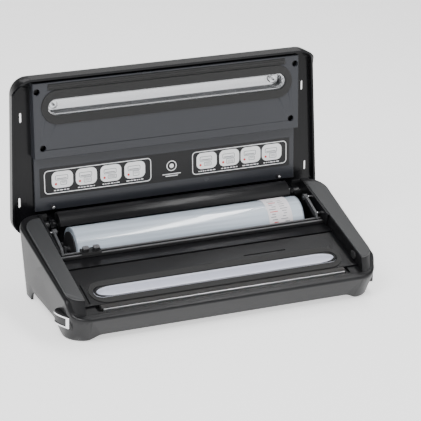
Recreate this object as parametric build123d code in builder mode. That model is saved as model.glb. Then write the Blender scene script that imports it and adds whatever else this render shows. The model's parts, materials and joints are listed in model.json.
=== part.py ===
"""Vacuum sealer with an open lid, a film roll compartment and a sliding bag cutter.

Millimetres, +Z up, +X to the right, the user stands on the -Y side. The origin is the centre of
the bounding box on the ground. Three frames are used:
  world  - the ground frame;
  DECK   - the sloping work surface: x across, s up the slope from the gasket's centre, n above it;
  LID    - the inside face of the open lid: u across, v up the lid, w out of its inner face.
When the lid closes, a lid point (u, v, w) lands on the deck at (x = u, s = CLOSE_S - v, n = CLOSE_N - w).
"""
import os
from math import cos, radians, sin, sqrt

from build123d import *

os.makedirs("parts", exist_ok=True)

# ---------------------------------------------------------------- driving dimensions
FIT = 0.2                     # assembly gap between moulded pieces
WALL = 3.0                    # outer wall of the base

FRONT_Y = -110.0              # front face at the height of its top edge
FRONT_FOOT_Y = -95.0          # the front face tucks under towards the ground
REAR_TOP_Y = 76.0
REAR_FOOT_Y = 70.0
FRONT_HALF = 194.5            # half widths of the plan, widest at the rear top
REAR_HALF = 200.0
FOOT_TUCK = 6.0               # sides tuck in towards the ground
FRONT_EDGE_Z = 30.0           # height where the front face is furthest out
BODY_TOP_Z = 96.0
FRONT_CORNER_R = 24.0
REAR_CORNER_R = 25.0
SKIRT_Z = 1.0                 # corners of the skirt stop above the ground
ARCH_Z = 7.6                  # the front and rear skirts are raised between the corners
ARCH_HALF, ARCH_RAMP = 150.0, 20.0
SIDE_ARCH_Z = 13.0            # the side skirts are raised higher, between the feet
SIDE_ARCH_Y0, SIDE_ARCH_Y1 = -74.0, 32.0

SLOPE = 13.4                  # work surface, degrees
DECK_Y, DECK_Z = -69.9, 46.4  # gasket centre line
LEDGE_N = 9.0                 # outer side ledge above the deck plane
FRONT_N = -3.5                # top of the front wall
LEDGE_END_S, FRONT_START_S = -14.0, -34.0   # where the ledge starts and ends its drop
ARM_N = 13.0                  # top of the side arms
ARM_COVER_T = 1.7
ARM_INNER = 171.5
ARM_OUTER_FRONT, ARM_OUTER_REAR = 188.6, 193.2
ARM_FRONT_S, ARM_REAR_S = -25.0, 137.0
ARM_TOE_S = -37.0             # the arm's front face runs down to the front wall
ARM_FRONT_R, ARM_REAR_R = 17.0, 18.0

HINGE_S, HINGE_N = 141.7, -4.56
HINGE_V, HINGE_W = 6.44, 6.75
HINGE_PIN_R = 2.5
HINGE_BORE_R = 2.55
KNUCKLE_R = 8.0
KNUCKLE_X0, KNUCKLE_X1 = 150.0, 158.0
RIDGE_R = 16.5                # rounded ridge in front of the hinge line
RIDGE_HALF = 148.5

LID_LEAN = 3.64               # the open lid leans back, degrees
LID_V0, LID_V1 = -7.0, 184.7  # hinge end and free end
LID_HALF_HINGE, LID_HALF_FREE = 198.5, 192.0
LID_CORNER_R = 21.0
LID_BACK_W, LID_FLOOR_W = -22.0, -14.5
LID_WALL = 2.6
LID_GAP = 2.2                 # closed lid to the front wall
LID_SIDE_GAP = 0.9            # closed lid to the side ledges

GASKET_L, GASKET_H = 314.0, 40.0        # lower gasket
SLOT_L, SLOT_H = 303.0, 20.0            # trough opening
UPPER_GASKET_L, UPPER_GASKET_H = 319.7, 41.0
DECK_SKIN = 3.0
ISLAND_N = -1.2               # plateau round the gasket
ISLAND_S1, ISLAND_HALF = 26.0, 161.0
GUTTER_N = -2.8               # lower strips behind and beside it
BAR_S0, BAR_S1, BAR_HALF = -28.4, -21.2, 152.0

ROLL_Y, ROLL_Z, ROLL_R = 37.5, 55.5, 26.0
ROLL_X0, ROLL_X1 = -142.0, 150.0
BAND_X0, BAND_X1 = 103.0, 134.0
CORE_OUT_R, CORE_IN_R = 19.0, 17.2
BAY_R = 28.0                  # roll compartment
BAY_SKIN = 2.4
AXLE_R, CRADLE_R = 4.0, 4.3

CUT_PIVOT_Y, CUT_PIVOT_Z = 38.0, 79.5   # pivot of the cutter bar
CUT_PIN_R, CUT_BORE_R = 1.5, 1.55
CUT_ARM_X0, CUT_ARM_X1 = 161.0, 164.0
RAIL_HALF = 168.6
RAIL_S0, RAIL_S1, RAIL_N0, RAIL_N1 = 71.0, 79.6, -4.6, -0.6
SLIDER_X = -129.0

RELEASE_Y0, RELEASE_Y1, RELEASE_Z0, RELEASE_Z1 = -94.5, -67.0, 17.5, 33.5
RELEASE_IN_X, RELEASE_TOE_X, RELEASE_OUT_X = 183.0, 189.6, 198.6
TRIM_W, TRIM_T = 1.7, 0.9

FOOT_R, FOOT_X, FOOT_FRONT_Y, FOOT_REAR_Y = 9.0, 165.0, -72.0, 44.0
INLET_X, INLET_Z = 120.0, 18.0          # power inlet in the rear wall

# ---------------------------------------------------------------- frames
SIN, COS = sin(radians(SLOPE)), cos(radians(SLOPE))
LSIN, LCOS = sin(radians(LID_LEAN)), cos(radians(LID_LEAN))
CLOSE_S = HINGE_S + HINGE_V
CLOSE_N = HINGE_N + HINGE_W


def on_deck(s, n):
    """World (y, z) of a point of the deck frame."""
    return (DECK_Y + s * COS - n * SIN, DECK_Z + s * SIN + n * COS)


HINGE_Y, HINGE_Z = on_deck(HINGE_S, HINGE_N)
LID_Y = HINGE_Y - HINGE_V * LSIN + HINGE_W * LCOS
LID_Z = HINGE_Z - HINGE_V * LCOS - HINGE_W * LSIN


def on_lid(v, w):
    """World (y, z) of a point of the lid frame."""
    return (LID_Y + v * LSIN - w * LCOS, LID_Z + v * LCOS + w * LSIN)


DECK = Plane(origin=(0, DECK_Y, DECK_Z), x_dir=(1, 0, 0), z_dir=(0, -SIN, COS))
LID = Plane(origin=(0, LID_Y, LID_Z), x_dir=(1, 0, 0), z_dir=(0, -LCOS, LSIN))
DECK_UP = Axis((0, DECK_Y, DECK_Z), (0, -SIN, COS))
LID_IN = Axis((0, LID_Y, LID_Z), (0, -LCOS, LSIN))
SIDES = {"left": -1, "right": 1}


def across(x):
    """Plane square to X: its local x is world Y and its local y is world Z."""
    return Plane(origin=(x, 0, 0), x_dir=(0, 1, 0), z_dir=(1, 0, 0))


def save(part, label):
    part.label = label
    export_step(part, f"parts/{label}.step")


def outline(front_y, front_half, rear_y, rear_half, front_r, rear_r):
    """Tapered plan with rounded corners, drawn in the current sketch."""
    with BuildLine() as plan:
        Polyline((-front_half, front_y), (front_half, front_y), (rear_half, rear_y),
                 (-rear_half, rear_y), close=True)
    make_face(plan.edges())
    fillet(vertices().group_by(Axis.Y)[0], front_r)
    fillet(vertices().group_by(Axis.Y)[-1], rear_r)


def body_levels():
    """Outlines of the base at the ground, at the front edge and at the top."""
    middle = FRONT_EDGE_Z / BODY_TOP_Z
    rear_mid = REAR_FOOT_Y + (REAR_TOP_Y - REAR_FOOT_Y) * middle
    tuck_mid = FOOT_TUCK * (1 - middle)
    return (
        (0, FRONT_FOOT_Y, FRONT_HALF - FOOT_TUCK, REAR_FOOT_Y, REAR_HALF - FOOT_TUCK),
        (FRONT_EDGE_Z, FRONT_Y, FRONT_HALF - tuck_mid, rear_mid, REAR_HALF - tuck_mid),
        (BODY_TOP_Z, FRONT_Y, FRONT_HALF, REAR_TOP_Y, REAR_HALF),
    )


def body_block(gap):
    """The tapered body, drawn in the current part and set in by a gap all round."""
    plans = []
    for z, front_y, front_half, rear_y, rear_half in body_levels():
        with BuildSketch(Plane.XY.offset(z)) as plan:
            outline(front_y + gap, front_half - gap, rear_y - gap, rear_half - gap,
                    FRONT_CORNER_R - gap, REAR_CORNER_R - gap)
        plans.append(plan.sketch)
    for low, high in zip(plans, plans[1:]):
        loft([low, high], ruled=True)


def top_trim(drop):
    """Side profile of the body's top edge, lowered by drop: ledge, curved drop, front wall."""
    y0, z0 = on_deck(FRONT_START_S, FRONT_N - drop)
    y1, z1 = on_deck(LEDGE_END_S, LEDGE_N - drop)
    front = on_deck(-60, FRONT_N - drop)
    rear = on_deck(160, LEDGE_N - drop)
    with BuildSketch(across(0)) as profile:
        with BuildLine():
            Line(front, (y0, z0))
            Spline((y0, z0), (y1, z1), tangents=((COS, SIN), (COS, SIN)))
            Line((y1, z1), rear)
            Polyline(rear, (rear[0], -5), (front[0], -5), front)
        make_face()
    return profile.sketch


def ring(length, height, inner_length, inner_height):
    """Stadium ring in the current sketch."""
    SlotOverall(length, height)
    SlotOverall(inner_length, inner_height, mode=Mode.SUBTRACT)


def arm_plan(side, front_s):
    """Plan of one side arm on the deck plane, in the current sketch."""
    inner = side * (ARM_INNER + FIT)
    with BuildLine() as plan:
        Polyline((inner, front_s), (side * ARM_OUTER_FRONT, front_s),
                 (side * ARM_OUTER_REAR, ARM_REAR_S), (inner, ARM_REAR_S), close=True)
    make_face(plan.edges())
    outer = vertices().sort_by(Axis.X)[-2:] if side > 0 else vertices().sort_by(Axis.X)[:2]
    front = outer.sort_by(Axis.Y)[0]
    fillet(front, ARM_FRONT_R)
    rest = vertices().sort_by(Axis.Y)[-2:]
    rear = rest.sort_by(Axis.X)[-1] if side > 0 else rest.sort_by(Axis.X)[0]
    fillet(rear, ARM_REAR_R)


# ---------------------------------------------------------------- base shell
BAY_FRONT_Y = on_deck(-33.5, FRONT_N)[0]
BAY_REAR_Y = HINGE_Y + 1.1
ARM_ROOT_N = -9.0             # the arms start inside the deck's opening


def front_arch():
    """Gap under the front and rear skirts, with ramps at its ends, in the current sketch."""
    with BuildLine() as gap:
        Polyline((-ARCH_HALF, ARCH_Z), (ARCH_HALF, ARCH_Z))
        Spline((ARCH_HALF, ARCH_Z), (ARCH_HALF + ARCH_RAMP, SKIRT_Z), tangents=((1, 0), (1, 0)))
        Polyline((ARCH_HALF + ARCH_RAMP, SKIRT_Z), (ARCH_HALF + ARCH_RAMP, -5), (-ARCH_HALF - ARCH_RAMP, -5),
                 (-ARCH_HALF - ARCH_RAMP, SKIRT_Z))
        Spline((-ARCH_HALF - ARCH_RAMP, SKIRT_Z), (-ARCH_HALF, ARCH_Z), tangents=((1, 0), (1, 0)))
    make_face(gap.edges())


def side_arch():
    """Gap under a side skirt: steep at the rear foot, a long ramp towards the front foot."""
    with BuildLine() as gap:
        Spline((SIDE_ARCH_Y0, SKIRT_Z), (SIDE_ARCH_Y0 + 32, SIDE_ARCH_Z), tangents=((1, 0), (1, 0)))
        Line((SIDE_ARCH_Y0 + 32, SIDE_ARCH_Z), (SIDE_ARCH_Y1 - 14, SIDE_ARCH_Z + 1.5))
        Spline((SIDE_ARCH_Y1 - 14, SIDE_ARCH_Z + 1.5), (SIDE_ARCH_Y1, SKIRT_Z + 1.5), tangents=((1, 0), (0.3, -1)))
        Polyline((SIDE_ARCH_Y1, SKIRT_Z + 1.5), (SIDE_ARCH_Y1, -5), (SIDE_ARCH_Y0, -5), (SIDE_ARCH_Y0, SKIRT_Z))
    make_face(gap.edges())


with BuildPart() as shell_cavity:
    body_block(WALL)
    extrude(top_trim(WALL), amount=300, both=True, mode=Mode.INTERSECT)

with BuildPart() as base_shell:
    body_block(0)
    extrude(top_trim(0), amount=300, both=True, mode=Mode.INTERSECT)
    rim = edges().filter_by(lambda e: e.center().Y < BAY_FRONT_Y - 3).group_by(Axis.Z)[-1]
    fillet(rim, 3.0)
    add(shell_cavity.part, mode=Mode.SUBTRACT)
    # side arms rise from the ledge
    for side in SIDES.values():
        with BuildSketch(DECK.offset(ARM_ROOT_N)):
            arm_plan(side, ARM_TOE_S)
        with BuildSketch(DECK.offset(ARM_N - ARM_COVER_T)):
            arm_plan(side, ARM_FRONT_S)
        loft(ruled=True)
    # opening for the deck, between the arms and in front of the rear wall
    with BuildSketch(across(0)):
        with BuildLine():
            Polyline(on_deck(-33.5, -9), on_deck(-33.5, 40), (BAY_REAR_Y, 150), (BAY_REAR_Y, HINGE_Z + 2),
                     (BAY_REAR_Y - 15, HINGE_Z - 15), close=True)
        make_face()
    extrude(amount=ARM_INNER, both=True, mode=Mode.SUBTRACT)
    # pockets behind the lid's hinge lugs
    for side in SIDES.values():
        with BuildSketch(Plane.XY.offset(HINGE_Z - KNUCKLE_R - 3)):
            with Locations((side * (KNUCKLE_X0 + KNUCKLE_X1) / 2, REAR_TOP_Y - 2)):
                Rectangle(KNUCKLE_X1 - KNUCKLE_X0 + 3, 14)
        extrude(amount=60, mode=Mode.SUBTRACT)
    # clearance round the hinge pins
    with BuildSketch(across(0)):
        with Locations((HINGE_Y, HINGE_Z)):
            Circle(HINGE_PIN_R + 0.4)
    extrude(amount=ARM_INNER, both=True, mode=Mode.SUBTRACT)
    # the skirt is arched between its corners, on all four sides
    with BuildSketch(Plane.XZ):
        front_arch()
    extrude(amount=200, both=True, mode=Mode.SUBTRACT)
    with BuildSketch(across(0)):
        side_arch()
    extrude(amount=250, both=True, mode=Mode.SUBTRACT)
    with BuildSketch(Plane.XY):
        Rectangle(500, 300)
    extrude(amount=SKIRT_Z, mode=Mode.SUBTRACT)
    # openings for the release buttons
    with BuildSketch(across(0)):
        with Locations(((RELEASE_Y0 + RELEASE_Y1) / 2, (RELEASE_Z0 + RELEASE_Z1) / 2)):
            Rectangle(RELEASE_Y1 - RELEASE_Y0 + 0.8, RELEASE_Z1 - RELEASE_Z0 + 0.8)
    extrude(amount=250, both=True, mode=Mode.SUBTRACT)
    # opening for the power inlet
    with BuildSketch(Plane.XZ.offset(-45)):
        with Locations((INLET_X, INLET_Z)):
            RectangleRounded(26.4, 16.4, 3)
    extrude(amount=-40, mode=Mode.SUBTRACT)
save(base_shell.part, "base_shell")

# ---------------------------------------------------------------- bottom cover and feet
PAN_Z, PAN_T, PAN_INSET = 6.2, 2.2, 12.0
PAN_FLANGE_Z = 15.0           # the pan's flange lies above the side arches


def pan_plan(inset):
    """Plan of the undertray, set in from the foot of the body."""
    outline(FRONT_FOOT_Y + inset - 4, FRONT_HALF - FOOT_TUCK - inset, REAR_FOOT_Y - inset,
            REAR_HALF - FOOT_TUCK - inset, FRONT_CORNER_R - inset, REAR_CORNER_R - inset)


with BuildPart() as bottom_cover:
    with BuildSketch(Plane.XY.offset(PAN_Z)):
        pan_plan(PAN_INSET)
    extrude(amount=PAN_FLANGE_Z + PAN_T - PAN_Z)
    with BuildSketch(Plane.XY.offset(PAN_FLANGE_Z)):
        pan_plan(WALL)
    extrude(amount=PAN_T)
    with BuildSketch(Plane.XY.offset(PAN_Z + PAN_T)):
        pan_plan(PAN_INSET + PAN_T)
    extrude(amount=PAN_FLANGE_Z, mode=Mode.SUBTRACT)
    # ventilation slots, and room for the power inlet
    with BuildSketch(Plane.XY.offset(PAN_Z)):
        for row in (-60, -30, 0):
            with Locations((0, row)):
                with GridLocations(14, 1, 9, 1):
                    SlotOverall(9, 2.4)
    extrude(amount=PAN_T, mode=Mode.SUBTRACT)
    with BuildSketch(Plane.XY.offset(PAN_Z + PAN_T)):
        with Locations((INLET_X, REAR_FOOT_Y - 8)):
            Rectangle(30, 26)
    extrude(amount=PAN_FLANGE_Z, mode=Mode.SUBTRACT)
save(bottom_cover.part, "bottom_cover")

foot_spots = [(x, y) for y in (FOOT_FRONT_Y, FOOT_REAR_Y) for x in (-FOOT_X, FOOT_X)]
with BuildPart() as rubber_feet:
    with BuildSketch(Plane.XY):
        with Locations(*foot_spots):
            Circle(FOOT_R)
    extrude(amount=PAN_Z)
    chamfer(edges().group_by(Axis.Z)[0], 1.0)
save(rubber_feet.part, "rubber_feet")

screw_spots = [(x, y) for y in (FOOT_FRONT_Y + 22, FOOT_REAR_Y - 22) for x in (-150, 0, 150)]
with BuildPart() as case_screws:
    with BuildSketch(Plane.XY.offset(PAN_Z - 1.2)):
        with Locations(*screw_spots):
            Circle(3.0)
    extrude(amount=1.2)
save(case_screws.part, "case_screws")

# ---------------------------------------------------------------- deck with the roll compartment
def deck_profile():
    """Closed side profile of the deck moulding, front lip to hinge ridge."""
    roll_s = (ROLL_Y - DECK_Y) * COS + (ROLL_Z - DECK_Z) * SIN
    roll_n = -(ROLL_Y - DECK_Y) * SIN + (ROLL_Z - DECK_Z) * COS
    seat_n = -5.0
    seat_end_s = roll_s - sqrt(BAY_R ** 2 - (seat_n - roll_n) ** 2)
    bay_start = on_deck(seat_end_s, seat_n)
    bay_low = (ROLL_Y, ROLL_Z - BAY_R)
    # where the compartment's wall meets the ridge's round
    span = sqrt((HINGE_Y - ROLL_Y) ** 2 + (HINGE_Z - ROLL_Z) ** 2)
    along = (BAY_R ** 2 - RIDGE_R ** 2 + span ** 2) / (2 * span)
    high = sqrt(BAY_R ** 2 - along ** 2)
    uy, uz = (HINGE_Y - ROLL_Y) / span, (HINGE_Z - ROLL_Z) / span
    meet = (ROLL_Y + along * uy - high * uz, ROLL_Z + along * uz + high * uy)
    ridge_mid = (HINGE_Y - RIDGE_R * cos(radians(50)), HINGE_Z + RIDGE_R * sin(radians(50)))
    crest = (HINGE_Y + RIDGE_R * cos(radians(87)), HINGE_Z + RIDGE_R * sin(radians(87)))
    bay_back = (ROLL_Y + BAY_R, ROLL_Z)
    top = [(-33.3, -3.3), (-20.7, -3.3), (-20.7, ISLAND_N), (ISLAND_S1, ISLAND_N), (ISLAND_S1, GUTTER_N),
           (49.0, GUTTER_N), (49.0, GUTTER_N - 1.2), (50.4, GUTTER_N - 1.2), (50.4, -1.6), (69.6, seat_n)]
    under_r = BAY_R + BAY_SKIN
    with BuildLine() as profile:
        Polyline(*[on_deck(s, n) for s, n in top], bay_start)
        ThreePointArc(bay_start, (ROLL_Y - BAY_R * cos(radians(40)), ROLL_Z - BAY_R * sin(radians(40))),
                      bay_low)
        ThreePointArc(bay_low, bay_back, meet)
        ThreePointArc(meet, ridge_mid, crest)
        Polyline(crest, (crest[0], ROLL_Z), (ROLL_Y + under_r, ROLL_Z))
        ThreePointArc((ROLL_Y + under_r, ROLL_Z), (ROLL_Y, ROLL_Z - under_r),
                      (ROLL_Y - under_r * cos(radians(20)), ROLL_Z - under_r * sin(radians(20))))
        Polyline((ROLL_Y - under_r * cos(radians(20)), ROLL_Z - under_r * sin(radians(20))),
                 on_deck(66.0, -8.0), on_deck(47.0, ISLAND_N - DECK_SKIN - 1.6),
                 on_deck(-17.0, ISLAND_N - DECK_SKIN - 1.6), on_deck(-18.0, -9.0),
                 on_deck(-33.3, -9.0), on_deck(-33.3, -3.3))
    make_face(profile.edges())


TRAY_N = -12.0
CHEEK_IN, CHEEK_OUT = 169.0, 171.3
CHEEK_S0 = 64.0
BAR_MID = (BAR_S0 + BAR_S1) / 2
SLIT_X = 72.0
BOSS_R, BOSS_X0 = 6.5, 158.6

with BuildPart() as upper_deck:
    with BuildSketch(across(0)):
        deck_profile()
    extrude(amount=CHEEK_OUT, both=True)
    # recess for the sealing bar, and the gutters beside the plateau
    with BuildSketch(DECK.offset(-6.0)):
        with Locations((0, BAR_MID - 1)):
            Rectangle(2 * BAR_HALF + 10, BAR_S1 - BAR_S0 + 3)
    extrude(amount=10, mode=Mode.SUBTRACT)
    with BuildSketch(DECK.offset(GUTTER_N)):
        with Locations((0, 10)):
            Rectangle(2 * CHEEK_OUT, 2 * (ISLAND_S1 + 1))
        with Locations((0, ISLAND_S1 - 40)):
            RectangleRounded(2 * ISLAND_HALF, 80, 7, mode=Mode.SUBTRACT)
    extrude(amount=10, mode=Mode.SUBTRACT)
    with BuildSketch(DECK.offset(GUTTER_N - 1)):
        with Locations((SLIT_X, ISLAND_S1 + 3)):
            SlotOverall(54, 1.6)
    extrude(amount=10, mode=Mode.SUBTRACT)
    # seats for the gasket and the trough
    with BuildSketch(DECK.offset(ISLAND_N - 1.5)):
        SlotOverall(GASKET_L + FIT, GASKET_H + FIT)
    extrude(amount=10, mode=Mode.SUBTRACT)
    with BuildSketch(DECK.offset(-20)):
        SlotOverall(SLOT_L + FIT, SLOT_H + FIT)
    extrude(amount=40, mode=Mode.SUBTRACT)
    # the hinge lugs and the cutter arms run in pockets at both ends
    for side in SIDES.values():
        with BuildSketch(Plane.XY.offset(HINGE_Z - KNUCKLE_R - 1.5)):
            with Locations((side * (RIDGE_HALF + CHEEK_IN) / 2, 62)):
                Rectangle(CHEEK_IN - RIDGE_HALF, 34)
        extrude(amount=60, mode=Mode.SUBTRACT)
    # bosses round the hinge pins
    for side in SIDES.values():
        with BuildSketch(across(side * BOSS_X0)):
            with Locations((HINGE_Y, HINGE_Z)):
                Circle(BOSS_R)
            with Locations((BAY_REAR_Y - FIT + BOSS_R, HINGE_Z)):
                Rectangle(2 * BOSS_R, 2 * BOSS_R, mode=Mode.SUBTRACT)
        extrude(amount=side * (CHEEK_IN - BOSS_X0))
    # cheeks beside the compartment carry the hinge pins
    for side in SIDES.values():
        with BuildSketch(across(side * (CHEEK_IN + CHEEK_OUT) / 2)):
            with BuildLine():
                Polyline(on_deck(CHEEK_S0, -6), on_deck(CHEEK_S0, ARM_N - 0.2),
                         on_deck(ARM_REAR_S + 3, ARM_N - 0.2), (HINGE_Y + 0.8, HINGE_Z + 11),
                         (HINGE_Y - 1.5, 40), (ROLL_Y, ROLL_Z - BAY_R), (10, 32), close=True)
            make_face()
        extrude(amount=(CHEEK_OUT - CHEEK_IN) / 2, both=True)
    # bores for the hinge pins and for the cutter bar's pins
    with BuildSketch(across(0)):
        with Locations((HINGE_Y, HINGE_Z)):
            Circle(HINGE_PIN_R)
        with Locations((CUT_PIVOT_Y, CUT_PIVOT_Z)):
            Circle(CUT_PIN_R)
    extrude(amount=300, both=True, mode=Mode.SUBTRACT)
save(upper_deck.part, "upper_deck")

for name, side in SIDES.items():
    with BuildPart() as arm_cover:
        with BuildSketch(DECK.offset(ARM_N - ARM_COVER_T)):
            arm_plan(side, ARM_FRONT_S)
        extrude(amount=ARM_COVER_T)
        fillet(faces().sort_by(DECK_UP)[-1].edges(), 0.8)
    save(arm_cover.part, f"arm_cover_{name}")

# ---------------------------------------------------------------- sealing gear on the deck
with BuildPart() as lower_gasket:
    with BuildSketch(DECK.offset(ISLAND_N - 1.5)):
        ring(GASKET_L, GASKET_H, SLOT_L + 1.2, SLOT_H + 1.2)
    extrude(amount=-(ISLAND_N - 1.5))
save(lower_gasket.part, "lower_gasket")

with BuildPart() as drip_tray:
    with BuildSketch(DECK.offset(-0.3)):
        SlotOverall(SLOT_L - FIT, SLOT_H - FIT)
    with BuildSketch(DECK.offset(TRAY_N)):
        SlotOverall(SLOT_L - 14, 9.0)
    loft(ruled=True)
    with BuildSketch(DECK.offset(-0.3)):
        SlotOverall(SLOT_L - FIT - 2.4, SLOT_H - FIT - 2.4)
    with BuildSketch(DECK.offset(TRAY_N + 1.6)):
        SlotOverall(SLOT_L - 17, 6.6)
    loft(ruled=True, mode=Mode.SUBTRACT)
save(drip_tray.part, "drip_tray")

with BuildPart() as seal_bar:
    with BuildSketch(DECK.offset(-5.9)):
        with Locations((0, BAR_MID)):
            Rectangle(2 * BAR_HALF, BAR_S1 - BAR_S0)
    extrude(amount=4.2)
save(seal_bar.part, "seal_bar")

with BuildPart() as heating_wire:
    with BuildSketch(DECK.offset(-1.65)):
        with Locations((0, BAR_MID)):
            Rectangle(2 * BAR_HALF - 6, 2.4)
    extrude(amount=0.25)
save(heating_wire.part, "heating_wire")

with BuildPart() as release_tape:
    with BuildSketch(DECK.offset(-1.35)):
        with Locations((0, BAR_MID)):
            Rectangle(2 * BAR_HALF - 2, BAR_S1 - BAR_S0 - 0.4)
    extrude(amount=0.3)
save(release_tape.part, "release_tape")

with BuildPart() as tape_clamp:
    with BuildSketch(DECK.offset(-5.9)):
        with Locations((0, -29.4)):
            Rectangle(300, 0.8)
    extrude(amount=4.7)
save(tape_clamp.part, "tape_clamp")

for name, side in SIDES.items():
    with BuildPart() as lid_catch:
        with BuildSketch(across(side * (ARM_INNER - 0.05))):
            with Locations(on_deck(-7.0, 3.2)):
                RectangleRounded(10, 9, 3)
        extrude(amount=-side * 1.5)
        chamfer(edges().group_by(Axis.X)[0 if side > 0 else -1], 0.5)
    save(lid_catch.part, f"lid_catch_{name}")

# ---------------------------------------------------------------- hinge pins
for name, side in SIDES.items():
    with BuildPart() as hinge_pin:
        with BuildSketch(across(side * 146)):
            with Locations((HINGE_Y, HINGE_Z)):
                Circle(HINGE_PIN_R)
        extrude(amount=side * 25.3)
    save(hinge_pin.part, f"hinge_pin_{name}")

with BuildPart() as cutter_pivot_pins:
    for side in SIDES.values():
        with BuildSketch(across(side * (CUT_ARM_X0 - 2.5))):
            with Locations((CUT_PIVOT_Y, CUT_PIVOT_Z)):
                Circle(CUT_PIN_R)
        extrude(amount=side * (CHEEK_OUT - CUT_ARM_X0 + 2.5))
save(cutter_pivot_pins.part, "cutter_pivot_pins")

# ---------------------------------------------------------------- film roll
with BuildPart() as roll_core:
    with BuildSketch(across(ROLL_X0)):
        with Locations((ROLL_Y, ROLL_Z)):
            Circle(CORE_OUT_R)
            Circle(CORE_IN_R, mode=Mode.SUBTRACT)
    extrude(amount=ROLL_X1 - ROLL_X0)
save(roll_core.part, "roll_core")

with BuildPart() as film_roll:
    with BuildSketch(across(ROLL_X0 + 0.5)):
        with Locations((ROLL_Y, ROLL_Z)):
            Circle(ROLL_R)
            Circle(CORE_OUT_R + 0.02, mode=Mode.SUBTRACT)
    extrude(amount=ROLL_X1 - ROLL_X0 - 1)
save(film_roll.part, "film_roll")

with BuildPart() as roll_band:
    with BuildSketch(across(BAND_X0)):
        with Locations((ROLL_Y, ROLL_Z)):
            Circle(ROLL_R + 0.25)
            Circle(ROLL_R + 0.02, mode=Mode.SUBTRACT)
    extrude(amount=BAND_X1 - BAND_X0)
save(roll_band.part, "roll_band")

AXLE_OUT = {"left": -154.0, "right": 158.0}
ROLL_END = {"left": ROLL_X0, "right": ROLL_X1}
CRADLE_X = {"left": -150.5, "right": 155.0}
for name, side in SIDES.items():
    with BuildPart() as roll_plug:
        with BuildSketch(across(ROLL_END[name] - side * 10)):
            with Locations((ROLL_Y, ROLL_Z)):
                Circle(CORE_IN_R - 0.05)
        extrude(amount=side * 10)
        with BuildSketch(across(ROLL_END[name])):
            with Locations((ROLL_Y, ROLL_Z)):
                Circle(21.0)
        extrude(amount=side * 1.4)
        with BuildSketch(across(ROLL_END[name])):
            with Locations((ROLL_Y, ROLL_Z)):
                Circle(AXLE_R)
        extrude(amount=AXLE_OUT[name] - ROLL_END[name])
    save(roll_plug.part, f"roll_plug_{name}")

    with BuildPart() as roll_cradle:
        with BuildSketch(across(CRADLE_X[name])):
            with BuildLine():
                Polyline((ROLL_Y - 11, ROLL_Z - 25.6), (ROLL_Y + 11, ROLL_Z - 25.6), (ROLL_Y + 8, ROLL_Z + 7),
                         (ROLL_Y - 8, ROLL_Z + 7), close=True)
            make_face()
            with Locations((ROLL_Y, ROLL_Z)):
                Circle(CRADLE_R, mode=Mode.SUBTRACT)
            with Locations((ROLL_Y, ROLL_Z + 6)):
                Rectangle(2 * CRADLE_R, 12, mode=Mode.SUBTRACT)
        extrude(amount=1.5, both=True)
    save(roll_cradle.part, f"roll_cradle_{name}")

# ---------------------------------------------------------------- cutter bar, its arms and the slider
RAIL_MID = (RAIL_S0 + RAIL_S1) / 2
with BuildPart() as cutter_rail:
    with BuildSketch(across(0)):
        with BuildLine():
            Polyline(*[on_deck(s, n) for s, n in (
                (RAIL_S0, RAIL_N0), (RAIL_S1, RAIL_N0), (RAIL_S1, RAIL_N1), (RAIL_MID + 1, RAIL_N1),
                (RAIL_MID + 1, RAIL_N1 - 2), (RAIL_MID - 1, RAIL_N1 - 2), (RAIL_MID - 1, RAIL_N1),
                (RAIL_S0, RAIL_N1))], close=True)
        make_face()
    extrude(amount=RAIL_HALF, both=True)
save(cutter_rail.part, "cutter_rail")

LATCH_PIN = (11.0, 68.0)
LEVER_HALF = 2.6              # half width of the lever that carries the rail
for name, side in SIDES.items():
    with BuildPart() as cutter_arm:
        with BuildSketch(across(side * (CUT_ARM_X0 + CUT_ARM_X1) / 2)):
            with BuildLine():
                Polyline(on_deck(RAIL_S0 + 4, RAIL_N1), on_deck(RAIL_S1, RAIL_N1),
                         (LATCH_PIN[0] + LEVER_HALF, LATCH_PIN[1] - LEVER_HALF),
                         (CUT_PIVOT_Y, CUT_PIVOT_Z - LEVER_HALF), (CUT_PIVOT_Y, CUT_PIVOT_Z + LEVER_HALF),
                         (LATCH_PIN[0] - LEVER_HALF, LATCH_PIN[1] + LEVER_HALF), close=True)
            make_face()
            with Locations((CUT_PIVOT_Y, CUT_PIVOT_Z)):
                Circle(LEVER_HALF)
        extrude(amount=(CUT_ARM_X1 - CUT_ARM_X0) / 2, both=True)
        # wider head round the pivot
        with BuildSketch(across(side * (CUT_ARM_X0 - 2))):
            with Locations((CUT_PIVOT_Y, CUT_PIVOT_Z)):
                Circle(LEVER_HALF + 1.2)
        extrude(amount=side * (CUT_ARM_X1 - CUT_ARM_X0 + 2))
        with BuildSketch(across(0)):
            with Locations((CUT_PIVOT_Y, CUT_PIVOT_Z)):
                Circle(CUT_BORE_R)
        extrude(amount=200, both=True, mode=Mode.SUBTRACT)
    save(cutter_arm.part, f"cutter_arm_{name}")

with BuildPart() as cutter_studs:
    for side in SIDES.values():
        with BuildSketch(across(side * CUT_ARM_X1)):
            with Locations(LATCH_PIN):
                Circle(1.6)
        extrude(amount=side * 4.6)
save(cutter_studs.part, "cutter_studs")

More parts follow.
